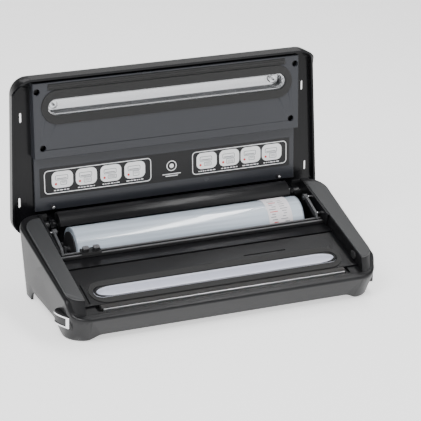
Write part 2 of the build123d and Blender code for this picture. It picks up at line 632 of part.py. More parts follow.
SLIDER_L = 24.0
with BuildPart() as cutter_slider:
    with BuildSketch(across(SLIDER_X)):
        with BuildLine():
            Polyline(*[on_deck(s, n) for s, n in (
                (RAIL_S0, RAIL_N1 + 0.3), (RAIL_MID - 0.7, RAIL_N1 + 0.3), (RAIL_MID - 0.7, RAIL_N1 - 1.7),
                (RAIL_MID + 0.7, RAIL_N1 - 1.7), (RAIL_MID + 0.7, RAIL_N1 + 0.3), (RAIL_S1 + 1, RAIL_N1 + 0.3),
                (RAIL_S1 + 1, RAIL_N1 + 3), (RAIL_S0, RAIL_N1 + 3))], close=True)
        make_face()
    extrude(amount=SLIDER_L / 2, both=True)
    for hump_x in (SLIDER_X - 6.5, SLIDER_X + 6.5):
        with BuildSketch(DECK.offset(RAIL_N1 + 2.9)):
            with Locations((hump_x, RAIL_MID)):
                RectangleRounded(8, 7.5, 2.5)
        extrude(amount=4.4)
save(cutter_slider.part, "cutter_slider")

with BuildPart() as cutter_blade:
    with BuildSketch(DECK.offset(RAIL_N1 + 3.05)):
        with BuildLine():
            Polyline((SLIDER_X - 2.2, RAIL_MID - 0.25), (SLIDER_X + 2.2, RAIL_MID - 0.25),
                     (SLIDER_X + 2.2, RAIL_MID + 0.25), (SLIDER_X - 2.2, RAIL_MID + 0.25), close=True)
        make_face()
    extrude(amount=2.2)
save(cutter_blade.part, "cutter_blade")

# ---------------------------------------------------------------- release buttons on the sides
def release_plan(side, skin):
    """Plan of a release button, a wedge that follows the front corner, in the current sketch."""
    inner, toe, outer = RELEASE_IN_X, RELEASE_TOE_X + skin, RELEASE_OUT_X + skin
    with BuildLine() as plan:
        Line((side * inner, RELEASE_Y0), (side * toe, RELEASE_Y0))
        Spline((side * toe, RELEASE_Y0), (side * outer, RELEASE_Y1 - 4),
               tangents=((side * 0.55, 1), (side * 0.05, 1)))
        Polyline((side * outer, RELEASE_Y1 - 4), (side * (outer - 4), RELEASE_Y1), (side * inner, RELEASE_Y1),
                 (side * inner, RELEASE_Y0))
    make_face(plan.edges())


for name, side in SIDES.items():
    with BuildPart() as release_button:
        with BuildSketch(Plane.XY.offset(RELEASE_Z0)):
            release_plan(side, 0)
        extrude(amount=RELEASE_Z1 - RELEASE_Z0)
        outer_edges = edges().filter_by(lambda e: abs(e.center().X) > RELEASE_TOE_X + 1 and e.length > 6)
        fillet(outer_edges.filter_by(lambda e: abs(e.center().Z - (RELEASE_Z0 + RELEASE_Z1) / 2) > 4), 1.2)
    save(release_button.part, f"release_button_{name}")

    with BuildPart() as release_trim:
        with BuildSketch(Plane.XY.offset(RELEASE_Z0 + 1.4)):
            release_plan(side, TRIM_T)
        extrude(amount=RELEASE_Z1 - RELEASE_Z0 - 2.8)
        with BuildSketch(Plane.XY.offset(RELEASE_Z0)):
            release_plan(side, 0)
        extrude(amount=RELEASE_Z1 - RELEASE_Z0, mode=Mode.SUBTRACT)
        # the rim is open towards the rear
        with BuildSketch(across(side * 200)):
            with Locations((RELEASE_Y0 + 1.4 + TRIM_W + 30, (RELEASE_Z0 + RELEASE_Z1) / 2)):
                Rectangle(60, RELEASE_Z1 - RELEASE_Z0 - 2.8 - 2 * TRIM_W)
        extrude(amount=30, both=True, mode=Mode.SUBTRACT)
        with BuildSketch(across(side * 200)):
            with Locations((RELEASE_Y1 + 25.5, (RELEASE_Z0 + RELEASE_Z1) / 2)):
                Rectangle(60, 60)
        extrude(amount=30, both=True, mode=Mode.SUBTRACT)
    save(release_trim.part, f"release_trim_{name}")

# ---------------------------------------------------------------- inside the base
with BuildPart() as pump_motor:
    with BuildSketch(across(-98)):
        with Locations((-30, 24)):
            Circle(14)
    extrude(amount=50)
    with BuildSketch(across(-101)):
        with Locations((-30, 24)):
            Circle(5)
    extrude(amount=3)
save(pump_motor.part, "pump_motor")

with BuildPart() as pump_head:
    with BuildSketch(Plane.XY.offset(9)):
        with Locations((-30, -30)):
            RectangleRounded(35, 32, 4)
    extrude(amount=31)
    with BuildSketch(Plane.XY.offset(39.5)):
        with Locations((-30, -30)):
            Circle(3)
    extrude(amount=4)
save(pump_head.part, "pump_head")

with BuildPart() as transformer:
    with BuildSketch(Plane.XY.offset(9)):
        with Locations((95, -35)):
            Rectangle(56, 46)
    extrude(amount=34)
save(transformer.part, "transformer")

with BuildPart() as control_board:
    with BuildSketch(Plane.XY.offset(14)):
        with Locations((20, -70)):
            Rectangle(150, 24)
    extrude(amount=1.6)
save(control_board.part, "control_board")

with BuildPart() as vacuum_hose:
    with BuildLine() as hose_path:
        FilletPolyline((-12.4, -30, 26), (20, -30, 26), (34, -48, 26), (34, -64, 26), radius=8)
    with BuildSketch(Plane(origin=hose_path.line @ 0, z_dir=hose_path.line % 0)):
        Circle(3)
        Circle(1.8, mode=Mode.SUBTRACT)
    sweep()
save(vacuum_hose.part, "vacuum_hose")

with BuildPart() as power_inlet:
    with BuildSketch(Plane.XZ.offset(-52)):
        with Locations((INLET_X, INLET_Z)):
            RectangleRounded(26, 16, 3)
    extrude(amount=-18.5)
    with BuildSketch(Plane.XZ.offset(-60)):
        with Locations((INLET_X, INLET_Z)):
            SlotCenterToCenter(9, 9.5)
    extrude(amount=-12, mode=Mode.SUBTRACT)
save(power_inlet.part, "power_inlet")

with BuildPart() as microswitch:
    with BuildSketch(Plane.XY.offset(26)):
        with Locations((180, -40)):
            Rectangle(6.5, 20)
    extrude(amount=10)
save(microswitch.part, "microswitch")

# ---------------------------------------------------------------- lid shell
BUTTON_U = {"vacuum": -34.0, "seal": 0.0, "manual": 34.0}
BUTTON_W, BUTTON_H, BUTTON_V = 22.0, 9.0, 171.5
PLATE_T = 0.8
CHANNEL_SLOTS = [(side * u, v) for u, v in ((186.0, 32.3), (181.0, 135.6)) for side in SIDES.values()]
CHAMBER_HALF, CHAMBER_V0, CHAMBER_V1 = 169.5, 86.8, 178.7
LOWER_HALF, LOWER_V0, LOWER_V1, LOWER_W = 168.4, 20.0, 86.6, -9.5
SCREW_SPOTS = [(-164.7, 168.1), (164.7, 168.1), (-159.3, 99.7), (159.3, 99.7)]
POST_SPOTS = [(-147.0, 24.2), (147.0, 24.2)]
POST_L, SCREW_HOLE_R, SCREW_HEAD_R = 3.6, 3.8, 3.3
CORE_HALF, CORE_V0, CORE_V1, CORE_W = 154.0, 24.0, 164.0, -18.8   # hollow under the inner panels
CHANNEL_SLOT_W = -17.0        # the channel slots open into wider recesses in the back


def lid_outline(inset):
    outline(LID_V0 + inset, LID_HALF_HINGE - inset, LID_V1 - inset, LID_HALF_FREE - inset,
            LID_CORNER_R - inset, LID_CORNER_R - inset)


RIM_SIDE_W = CLOSE_N - LEDGE_N - LID_SIDE_GAP
RIM_FREE_W = CLOSE_N - FRONT_N - LID_GAP
with BuildPart() as lid_shell:
    with BuildSketch(LID.offset(LID_BACK_W)):
        lid_outline(0)
    extrude(amount=RIM_FREE_W - LID_BACK_W)
    fillet(faces().sort_by(LID_IN)[0].edges(), 5.0)
    with BuildSketch(LID.offset(LID_FLOOR_W)):
        lid_outline(LID_WALL)
    extrude(amount=60, mode=Mode.SUBTRACT)
    # the rim follows the ledge of the base
    with BuildSketch(across(0)):
        start = on_lid(CLOSE_S - LEDGE_END_S, RIM_SIDE_W)
        stop = on_lid(CLOSE_S - FRONT_START_S, RIM_FREE_W)
        with BuildLine():
            Line(on_lid(-30, RIM_SIDE_W), start)
            Spline(start, stop, tangents=((LSIN, LCOS), (LSIN, LCOS)))
            Polyline(stop, on_lid(220, RIM_FREE_W), on_lid(220, 60), on_lid(-30, 60),
                     on_lid(-30, RIM_SIDE_W))
        make_face()
    extrude(amount=300, both=True, mode=Mode.SUBTRACT)
    # window slot, channel slots and button pockets
    with BuildSketch(LID.offset(LID_BACK_W - 2)):
        with Locations((0, CLOSE_S)):
            SlotOverall(SLOT_L + 0.8, SLOT_H)
        with Locations(*CHANNEL_SLOTS):
            SlotOverall(12, 2.6, rotation=90)
    extrude(amount=LID_FLOOR_W - LID_BACK_W + 4, mode=Mode.SUBTRACT)
    with BuildSketch(LID.offset(LID_BACK_W)):
        with Locations(*CHANNEL_SLOTS):
            SlotOverall(22, 9, rotation=90)
    extrude(amount=CHANNEL_SLOT_W - LID_BACK_W, mode=Mode.SUBTRACT)
    with BuildSketch(LID.offset(CORE_W)):
        with Locations((0, (CORE_V0 + CORE_V1) / 2)):
            Rectangle(2 * CORE_HALF, CORE_V1 - CORE_V0)
    extrude(amount=LID_FLOOR_W + 1 - CORE_W, mode=Mode.SUBTRACT)
    with BuildSketch(LID.offset(LID_BACK_W - 2)):
        with Locations(*[(u, BUTTON_V) for u in BUTTON_U.values()]):
            RectangleRounded(BUTTON_W + 0.6, BUTTON_H + 0.6, 3)
    extrude(amount=4.8, mode=Mode.SUBTRACT)
save(lid_shell.part, "lid_shell")

with BuildPart() as chamber_block:
    with BuildSketch(LID.offset(LID_FLOOR_W + 0.1)):
        with Locations((0, (CHAMBER_V0 + CHAMBER_V1) / 2)):
            Rectangle(2 * CHAMBER_HALF, CHAMBER_V1 - CHAMBER_V0)
    extrude(amount=-LID_FLOOR_W - 0.1)
    fillet(faces().sort_by(LID_IN)[-1].edges(), 0.8)
    with BuildSketch(LID.offset(LID_FLOOR_W - 1)):
        with Locations((0, (CHAMBER_V0 + CHAMBER_V1) / 2)):
            Rectangle(2 * CHAMBER_HALF - 6, CHAMBER_V1 - CHAMBER_V0 - 6)
    extrude(amount=-LID_FLOOR_W - 2.5, mode=Mode.SUBTRACT)
    with BuildSketch(LID.offset(-20)):
        with Locations((0, CLOSE_S)):
            SlotOverall(SLOT_L + 0.8, SLOT_H)
        with Locations(*SCREW_SPOTS):
            Circle(SCREW_HOLE_R)
    extrude(amount=30, mode=Mode.SUBTRACT)
    with BuildSketch(LID.offset(-1.5)):
        with Locations((0, CLOSE_S)):
            ring(UPPER_GASKET_L + FIT, UPPER_GASKET_H + FIT, SLOT_L - 1, SLOT_H - 1)
        with Locations((0, 172.6)):
            Rectangle(302.4, 7.2)
    extrude(amount=10, mode=Mode.SUBTRACT)
save(chamber_block.part, "chamber_block")

with BuildPart() as upper_gasket:
    with BuildSketch(LID.offset(-1.5)):
        with Locations((0, CLOSE_S)):
            ring(UPPER_GASKET_L, UPPER_GASKET_H, SLOT_L + 0.8, SLOT_H)
    extrude(amount=3.5)
save(upper_gasket.part, "upper_gasket")

with BuildPart() as window:
    with BuildSketch(LID.offset(LID_BACK_W)):
        with Locations((0, CLOSE_S)):
            SlotOverall(SLOT_L, SLOT_H - 0.8)
    extrude(amount=-LID_BACK_W - 1.8)
    with BuildSketch(LID.offset(LID_BACK_W + 2)):
        with Locations((0, CLOSE_S)):
            SlotOverall(SLOT_L - 3, SLOT_H - 3.8)
    extrude(amount=40, mode=Mode.SUBTRACT)
    with BuildSketch(LID.offset(LID_BACK_W + 1.8)):
        with Locations((-141, CLOSE_S), (141, CLOSE_S)):
            Circle(5)
            Circle(1.6, mode=Mode.SUBTRACT)
    extrude(amount=9)
save(window.part, "window")

with BuildPart() as press_strip:
    with BuildSketch(LID.offset(-1.45)):
        with Locations((0, 172.6)):
            Rectangle(302, 6.8)
    extrude(amount=2.6)
    with BuildSketch(LID.offset(1.1)):
        with Locations((0, 172.6)):
            Rectangle(302, 2.6)
    extrude(amount=1.0)
save(press_strip.part, "press_strip")

with BuildPart() as chamber_screws:
    with BuildSketch(LID.offset(LID_FLOOR_W + 0.1)):
        with Locations(*SCREW_SPOTS):
            Circle(SCREW_HEAD_R)
    extrude(amount=7.5)
save(chamber_screws.part, "chamber_screws")

with BuildPart() as lower_panel:
    with BuildSketch(LID.offset(LID_FLOOR_W + 0.1)):
        with Locations((0, (LOWER_V0 + LOWER_V1) / 2)):
            Rectangle(2 * LOWER_HALF, LOWER_V1 - LOWER_V0)
    extrude(amount=LOWER_W - LID_FLOOR_W - 0.1)
    fillet(faces().sort_by(LID_IN)[-1].edges(), 0.8)
    with BuildSketch(LID.offset(LID_FLOOR_W - 1)):
        with Locations((0, (LOWER_V0 + LOWER_V1) / 2)):
            Rectangle(2 * LOWER_HALF - 6, LOWER_V1 - LOWER_V0 - 6)
    extrude(amount=LOWER_W - LID_FLOOR_W - 1.4, mode=Mode.SUBTRACT)
save(lower_panel.part, "lower_panel")

with BuildPart() as instruction_label:
    with BuildSketch(LID.offset(LOWER_W)):
        with Locations((0, 54.7)):
            RectangleRounded(324, 35.8, 1.5)
    extrude(amount=0.3)
save(instruction_label.part, "instruction_label")

with BuildPart() as lid_posts:
    with BuildSketch(LID.offset(LOWER_W)):
        with Locations(*POST_SPOTS):
            Circle(2.5)
    extrude(amount=POST_L)
save(lid_posts.part, "lid_posts")

with BuildPart() as post_caps:
    with BuildSketch(LID.offset(LOWER_W + POST_L)):
        with Locations(*POST_SPOTS):
            Circle(1.9)
    extrude(amount=1.4)
    fillet(edges().group_by(LID_IN)[-1], 1.0)
save(post_caps.part, "post_caps")

for name, side in SIDES.items():
    with BuildPart() as hinge_lug:
        with BuildSketch(across(side * (KNUCKLE_X0 + KNUCKLE_X1) / 2)):
            with Locations((HINGE_Y, HINGE_Z)):
                Circle(KNUCKLE_R)
            with BuildLine():
                Polyline(on_lid(HINGE_V - 7, HINGE_W), on_lid(HINGE_V + 7, HINGE_W),
                         on_lid(HINGE_V + 7, LID_FLOOR_W + 0.1), on_lid(HINGE_V - 7, LID_FLOOR_W + 0.1),
                         close=True)
            make_face()
            with Locations((HINGE_Y, HINGE_Z)):
                Circle(HINGE_BORE_R, mode=Mode.SUBTRACT)
        extrude(amount=(KNUCKLE_X1 - KNUCKLE_X0) / 2, both=True)
    save(hinge_lug.part, f"hinge_lug_{name}")

# ---------------------------------------------------------------- controls on the lid's outer face
with BuildPart() as control_plate:
    with BuildSketch(LID.offset(LID_BACK_W)):
        with Locations((0, BUTTON_V)):
            RectangleRounded(128, 15, 5)
        with Locations(*[(u, BUTTON_V) for u in BUTTON_U.values()]):
            RectangleRounded(BUTTON_W + 0.6, BUTTON_H + 0.6, 3, mode=Mode.SUBTRACT)
        with Locations((-56, BUTTON_V), (56, BUTTON_V)):
            Circle(1.6, mode=Mode.SUBTRACT)
    extrude(amount=-PLATE_T)
save(control_plate.part, "control_plate")

with BuildPart() as status_lamps:
    with BuildSketch(LID.offset(LID_BACK_W)):
        with Locations((-56, BUTTON_V), (56, BUTTON_V)):
            Circle(1.5)
    extrude(amount=-PLATE_T - 0.3)
save(status_lamps.part, "status_lamps")

for name, u in BUTTON_U.items():
    with BuildPart() as button:
        with BuildSketch(LID.offset(LID_BACK_W + 1.6)):
            with Locations((u, BUTTON_V)):
                RectangleRounded(BUTTON_W, BUTTON_H, 2.7)
        extrude(amount=-1.6 - PLATE_T - 1.0)
        fillet(faces().sort_by(LID_IN)[0].edges(), 0.6)
    save(button.part, f"{name}_button")

with BuildPart() as button_board:
    with BuildSketch(LID.offset(-12.4)):
        with Locations((0, 171.2)):
            Rectangle(120, 7)
    extrude(amount=1.6)
save(button_board.part, "button_board")
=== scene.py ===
"""Studio scene of the vacuum sealer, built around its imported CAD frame. Metres."""
import json
import math
import random

import bmesh
import bpy
from mathutils import Matrix, Vector


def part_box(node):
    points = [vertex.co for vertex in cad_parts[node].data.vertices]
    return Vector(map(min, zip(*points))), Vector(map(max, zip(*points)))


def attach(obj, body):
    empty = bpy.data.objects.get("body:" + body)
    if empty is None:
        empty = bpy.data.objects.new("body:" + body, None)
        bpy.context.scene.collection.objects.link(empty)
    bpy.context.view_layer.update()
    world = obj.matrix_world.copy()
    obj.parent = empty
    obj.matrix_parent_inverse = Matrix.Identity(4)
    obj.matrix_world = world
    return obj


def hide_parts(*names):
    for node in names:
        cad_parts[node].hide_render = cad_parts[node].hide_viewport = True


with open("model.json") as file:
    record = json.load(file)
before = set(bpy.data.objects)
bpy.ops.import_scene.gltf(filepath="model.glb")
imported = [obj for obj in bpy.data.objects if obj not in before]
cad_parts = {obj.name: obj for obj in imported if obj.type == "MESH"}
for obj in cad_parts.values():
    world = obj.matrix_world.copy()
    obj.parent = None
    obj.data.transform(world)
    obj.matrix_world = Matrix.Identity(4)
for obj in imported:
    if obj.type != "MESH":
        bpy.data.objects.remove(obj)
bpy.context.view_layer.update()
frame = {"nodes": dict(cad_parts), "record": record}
nodes = frame["nodes"]
MM = 0.001
rng = random.Random(11)

# ---------------------------------------------------------------- frames, read from the CAD frame
SLOPE = math.radians(13.4)
LEAN = math.radians(3.64)
HINGE = Vector(next(j for j in frame["record"]["behaviour"]["joints"] if j["name"] == "lid_hinge")["pos_m"])
HINGE_V, HINGE_W = 6.44 * MM, 6.75 * MM
LID_UP = Vector((0, math.sin(LEAN), math.cos(LEAN)))
LID_OUT = Vector((0, -math.cos(LEAN), math.sin(LEAN)))
LID_ORIGIN = HINGE - LID_UP * HINGE_V - LID_OUT * HINGE_W
DECK_UP = Vector((0, math.cos(SLOPE), math.sin(SLOPE)))
DECK_OUT = Vector((0, -math.sin(SLOPE), math.cos(SLOPE)))
low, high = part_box("lower_gasket")
DECK_ORIGIN = Vector((0, (low[1] + high[1]) / 2, (low[2] + high[2]) / 2)) + DECK_OUT * 1.35 * MM
ACROSS = Vector((1, 0, 0))


def on_lid(u, v, w):
    """World point of a lid point given in millimetres."""
    return LID_ORIGIN + ACROSS * (u * MM) + LID_UP * (v * MM) + LID_OUT * (w * MM)


def on_deck(x, s, n):
    """World point of a deck point given in millimetres."""
    return DECK_ORIGIN + ACROSS * (x * MM) + DECK_UP * (s * MM) + DECK_OUT * (n * MM)


# ---------------------------------------------------------------- materials
def material(name, color, rough=0.4, metal=0.0, bump=0.0, scale=600.0, vary=0.12, wear=0.0,
             coat=0.0, clear=0.0, ior=1.46, rough_vary=0.08, sheen=0.0, sub=0.0,
             streak=None, glow=0.0):
    """Moulded or machined surface: mottled colour, uneven gloss, fine grain and worn edges."""
    mat = bpy.data.materials.new(name)
    mat.use_nodes = True
    tree = mat.node_tree
    shader = tree.nodes["Principled BSDF"]
    add = tree.nodes.new
    link = tree.links.new
    coords = add("ShaderNodeTexCoord")
    mapping = add("ShaderNodeMapping")
    if streak:
        mapping.inputs["Scale"].default_value = streak
    link(coords.outputs["Object"], mapping.inputs["Vector"])
    cloud = add("ShaderNodeTexNoise")
    cloud.inputs["Scale"].default_value = 14.0
    cloud.inputs["Detail"].default_value = 3.0
    link(mapping.outputs[0], cloud.inputs["Vector"])
    ramp = add("ShaderNodeMix")
    ramp.data_type = "RGBA"
    dark = [c * (1 - vary) for c in color[:3]] + [1]
    light = [min(1, c * (1 + vary)) for c in color[:3]] + [1]
    ramp.inputs[6].default_value = dark
    ramp.inputs[7].default_value = light
    link(cloud.outputs["Fac"], ramp.inputs[0])
    base = ramp.outputs[2]
    if wear:
        geo = add("ShaderNodeNewGeometry")
        edge = add("ShaderNodeValToRGB")
        edge.color_ramp.elements[0].position = 0.52
        edge.color_ramp.elements[1].position = 0.62
        link(geo.outputs["Pointiness"], edge.inputs[0])
        worn = add("ShaderNodeMix")
        worn.data_type = "RGBA"
        worn.inputs[7].default_value = [min(1, c + wear) for c in color[:3]] + [1]
        link(edge.outputs[0], worn.inputs[0])
        link(base, worn.inputs[6])
        base = worn.outputs[2]
    link(base, shader.inputs["Base Color"])
    grain = add("ShaderNodeTexNoise")
    grain.inputs["Scale"].default_value = scale
    grain.inputs["Detail"].default_value = 4.0
    link(mapping.outputs[0], grain.inputs["Vector"])
    spread = add("ShaderNodeMapRange")
    spread.inputs["To Min"].default_value = max(0.02, rough - rough_vary)
    spread.inputs["To Max"].default_value = min(1.0, rough + rough_vary)
    link(cloud.outputs["Fac"], spread.inputs["Value"])
    link(spread.outputs[0], shader.inputs["Roughness"])
    if bump:
        bumped = add("ShaderNodeBump")
        bumped.inputs["Strength"].default_value = bump
        bumped.inputs["Distance"].default_value = 0.0002
        link(grain.outputs["Fac"], bumped.inputs["Height"])
        link(bumped.outputs[0], shader.inputs["Normal"])
    shader.inputs["Metallic"].default_value = metal
    shader.inputs["IOR"].default_value = ior
    shader.inputs["Coat Weight"].default_value = coat
    shader.inputs["Transmission Weight"].default_value = clear
    shader.inputs["Sheen Weight"].default_value = sheen
    shader.inputs["Emission Color"].default_value = (*color[:3], 1)
    shader.inputs["Emission Strength"].default_value = glow
    shader.inputs["Subsurface Weight"].default_value = sub
    if sub:
        shader.inputs["Subsurface Radius"].default_value = (0.01, 0.01, 0.012)
    return mat


BODY = material("body_plastic", (0.009, 0.009, 0.010), rough=0.36, bump=0.25, scale=2600, wear=0.012,
                ior=1.38)
ARM = material("arm_satin", (0.036, 0.037, 0.039), rough=0.44, bump=0.2, scale=3000, wear=0.02)
LID = material("lid_polish", (0.005, 0.005, 0.006), rough=0.2, bump=0.03, scale=900, ior=1.3)
PANEL = material("panel_slate", (0.026, 0.028, 0.034), rough=0.24, bump=0.05, scale=1500, ior=1.42)
DECK = material("deck_plastic", (0.007, 0.007, 0.008), rough=0.32, bump=0.12, scale=2600, ior=1.36)
GASKET = material("foam_rubber", (0.014, 0.014, 0.014), rough=0.72, bump=0.5, scale=3500, sheen=0.1)
TRAY = material("tray_white", (0.66, 0.68, 0.78), rough=0.28, bump=0.05, scale=900, sub=0.1, vary=0.03)
BAR = material("bar_plastic", (0.012, 0.012, 0.012), rough=0.55, bump=0.3, scale=2500)
TAPE = material("glass_tape", (0.018, 0.016, 0.015), rough=0.48, bump=0.6, scale=4200, vary=0.3)
STEEL = material("pin_steel", (0.62, 0.62, 0.64), rough=0.22, metal=1.0, bump=0.1, scale=1500,
                 streak=(0.1, 1, 1))
CLAMP = material("clamp_metal", (0.78, 0.78, 0.80), rough=0.3, metal=0.9, bump=0.1, scale=1500)
CHROME = material("chrome_trim", (0.86, 0.86, 0.88), rough=0.08, metal=1.0, bump=0.02, scale=500)
CARD = material("card_core", (0.36, 0.27, 0.18), rough=0.85, bump=0.5, scale=900, vary=0.2)
PLUG = material("plug_plastic", (0.022, 0.022, 0.024), rough=0.5, bump=0.2, scale=2200)
CRADLE = material("cradle_plastic", (0.045, 0.046, 0.05), rough=0.42, bump=0.2, scale=2200, wear=0.03)
CUTTER = material("cutter_plastic", (0.016, 0.016, 0.017), rough=0.36, bump=0.2, scale=2400, wear=0.03)
BLADE = material("blade_steel", (0.7, 0.71, 0.73), rough=0.2, metal=1.0, bump=0.1, scale=1200)
RUBBER = material("feet_rubber", (0.015, 0.015, 0.015), rough=0.8, bump=0.5, scale=2500)
SCREW = material("screw_black", (0.02, 0.02, 0.021), rough=0.3, metal=0.7, bump=0.1, scale=1500)
MOTOR = material("motor_can", (0.5, 0.5, 0.52), rough=0.35, metal=1.0, bump=0.1, scale=900)
PUMP = material("pump_plastic", (0.08, 0.08, 0.09), rough=0.5, bump=0.2, scale=1500)
CORE = material("core_iron", (0.12, 0.07, 0.04), rough=0.5, metal=0.3, bump=0.3, scale=700)
BOARD = material("board_green", (0.02, 0.12, 0.05), rough=0.35, bump=0.2, scale=1200, vary=0.3)
HOSE = material("hose_silicone", (0.6, 0.6, 0.56), rough=0.45, bump=0.1, scale=800, sub=0.2)
INLET = material("inlet_plastic", (0.012, 0.012, 0.012), rough=0.5, bump=0.3, scale=2000)
LABEL = material("label_foil", (0.007, 0.007, 0.008), rough=0.34, bump=0.06, scale=1800, ior=1.38)
BUTTON = material("button_satin", (0.09, 0.09, 0.095), rough=0.45, bump=0.2, scale=2600, wear=0.03)
LAMP = material("lamp_green", (0.05, 0.4, 0.1), rough=0.3, bump=0.05, scale=900, sub=0.3)
WINDOW = material("window_clear", (0.60, 0.61, 0.63), rough=0.16, clear=0.9, bump=0.25, scale=500, vary=0.2,
                  rough_vary=0.06, streak=(0.03, 2, 2))
FILM = material("film_wound", (0.50, 0.57, 0.67), rough=0.17, bump=0.5, scale=130, vary=0.55, coat=1.0,
                streak=(0.2, 9, 9), sub=0.05)
BAND = material("band_paper", (0.80, 0.77, 0.80), rough=0.5, bump=0.2, scale=900, vary=0.04)
WHITE_INK = material("ink_white", (0.93, 0.93, 0.94), rough=0.4, bump=0.1, scale=2500, vary=0.04)
GREY_INK = material("ink_grey", (0.24, 0.25, 0.27), rough=0.45, bump=0.1, scale=2500, vary=0.1)
RED_INK = material("ink_red", (0.62, 0.03, 0.03), rough=0.4, bump=0.1, scale=2500, vary=0.08)
RIB = material("rib_plastic", (0.16, 0.16, 0.17), rough=0.38, bump=0.2, scale=2600, wear=0.04)
# painted shade: near-black crosses on the black screw heads give the darkness of recesses that are not cut
RECESS_SHADE = material("recess_painted_shade", (0.003, 0.003, 0.003), rough=0.6, bump=0.3, scale=1800)
PAINT = {
    BODY: ["base_shell", "bottom_cover"], ARM: ["arm_cover_left", "arm_cover_right", "control_plate"],
    LID: ["lid_shell", "hinge_lug_left", "hinge_lug_right"], PANEL: ["chamber_block", "lower_panel"],
    DECK: ["upper_deck"], GASKET: ["lower_gasket", "upper_gasket", "press_strip"], TRAY: ["drip_tray"],
    BAR: ["seal_bar"], TAPE: ["release_tape"], CLAMP: ["tape_clamp"],
    STEEL: ["hinge_pin_left", "hinge_pin_right", "cutter_pivot_pins", "cutter_studs", "post_caps",
            "heating_wire"],
    CHROME: ["release_trim_left", "release_trim_right"], CARD: ["roll_core"],
    PLUG: ["roll_plug_left", "roll_plug_right"],
    CRADLE: ["roll_cradle_left", "roll_cradle_right", "cutter_arm_left", "cutter_arm_right"],
    CUTTER: ["cutter_rail", "cutter_slider", "release_button_left", "release_button_right",
             "lid_catch_left", "lid_catch_right", "lid_posts"],
    BLADE: ["cutter_blade"], RUBBER: ["rubber_feet"], SCREW: ["case_screws", "chamber_screws"],
    MOTOR: ["pump_motor"], PUMP: ["pump_head"], CORE: ["transformer"],
    BOARD: ["control_board", "button_board"],
    HOSE: ["vacuum_hose"], INLET: ["power_inlet", "microswitch"], LABEL: ["instruction_label"],
    BUTTON: ["vacuum_button", "seal_button", "manual_button"], LAMP: ["status_lamps"],
    WINDOW: ["window"], FILM: ["film_roll"], BAND: ["roll_band"],
}
for mat, names in PAINT.items():
    for name in names:
        mesh_slots = nodes[name].material_slots
        for index in range(len(mesh_slots)):
            mesh_slots[index].material = mat

# ---------------------------------------------------------------- moulded edges are rounded off
ROUNDED = {
    0.9: ["base_shell", "lid_shell"],
    0.6: ["chamber_block", "lower_panel", "upper_deck", "arm_cover_left", "arm_cover_right", "bottom_cover",
          "rubber_feet", "lower_gasket", "upper_gasket", "press_strip", "window"],
    0.35: ["seal_bar", "tape_clamp", "cutter_rail", "cutter_slider", "cutter_arm_left", "cutter_arm_right",
           "hinge_lug_left", "hinge_lug_right", "roll_cradle_left", "roll_cradle_right", "power_inlet",
           "roll_plug_left", "roll_plug_right", "control_plate", "release_button_left",
           "release_button_right", "chamber_screws", "cutter_studs", "lid_posts"],
}
for width, names in ROUNDED.items():
    for name in names:
        weld = nodes[name].modifiers.new("weld", "WELD")
        weld.merge_threshold = 0.01 * MM
        bevel = nodes[name].modifiers.new("bevel", "BEVEL")
        bevel.width = width * MM
        bevel.segments = 3
        bevel.limit_method = "ANGLE"
        bevel.angle_limit = math.radians(38)
        bevel.harden_normals = True


# ---------------------------------------------------------------- mesh helpers
def publish(form, name, body, mat, stands_for=None, smooth=False):
    """Turns a bmesh into a piece that rides on a body of the frame."""
    bmesh.ops.recalc_face_normals(form, faces=form.faces)
    mesh = bpy.data.meshes.new(name)
    form.to_mesh(mesh)
    form.free()
    for poly in mesh.polygons:
        poly.use_smooth = smooth
    mesh.materials.append(mat)
    obj = bpy.data.objects.new(name, mesh)
    bpy.context.collection.objects.link(obj)
    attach(obj, body)
    if stands_for:
        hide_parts(stands_for)
    return obj


def rounded(cx, cy, width, height, radius, steps=6):
    """Closed outline of a rectangle with round corners."""
    points = []
    for corner, (sx, sy) in enumerate(((1, 1), (-1, 1), (-1, -1), (1, -1))):
        for step in range(steps + 1):
            a = math.pi / 2 * (corner + step / steps)
            points.append((cx + sx * (width / 2 - radius) + radius * math.cos(a),
                           cy + sy * (height / 2 - radius) + radius * math.sin(a)))
    return points


def prism(form, outline, place, low_level, high_level):
    """Closed outline, filled and raised from one level to another."""
    foot = [form.verts.new(place(a, b, low_level)) for a, b in outline]
    head = [form.verts.new(place(a, b, high_level)) for a, b in outline]
    form.faces.new(head)
    form.faces.new(list(reversed(foot)))
    for i in range(len(outline)):
        j = (i + 1) % len(outline)
        form.faces.new((foot[i], foot[j], head[j], head[i]))


def hoop(form, outer, inner, place, low_level, high_level):
    """Raised band between two outlines with the same number of points."""
    rings = [[form.verts.new(place(a, b, level)) for a, b in outline]
             for outline, level in ((outer, low_level), (outer, high_level), (inner, high_level),
                                    (inner, low_level))]
    for i in range(len(outer)):
        j = (i + 1) % len(outer)
        for first, second in zip(rings, rings[1:] + rings[:1]):
            form.faces.new((first[i], first[j], second[j], second[i]))


def strip(form, cx, cy, width, height, place, low_level, high_level):
    prism(form, rounded(cx, cy, width, height, min(width, height) * 0.45, 3), place, low_level, high_level)


# ---------------------------------------------------------------- printed panel inside the lid
LABEL_W = -9.2
LABEL_V = 54.7
INK = 0.12                    # thickness of one printed layer
FRAME_H, FRAME_R, FRAME_LINE = 29.0, 5.0, 0.9
TILE_L, TILE_H, TILE_R = 26.5, 20.5, 6.5
frames = bmesh.new()
captions = bmesh.new()
for left, right in ((-156.6, -21.5), (32.0, 158.0)):
    middle, width = (left + right) / 2, right - left
    hoop(frames, rounded(middle, LABEL_V, width, FRAME_H, FRAME_R),
         rounded(middle, LABEL_V, width - 2 * FRAME_LINE, FRAME_H - 2 * FRAME_LINE, FRAME_R - FRAME_LINE),
         on_lid, LABEL_W, LABEL_W + INK)
publish(frames, "label_frames", "lid", WHITE_INK)

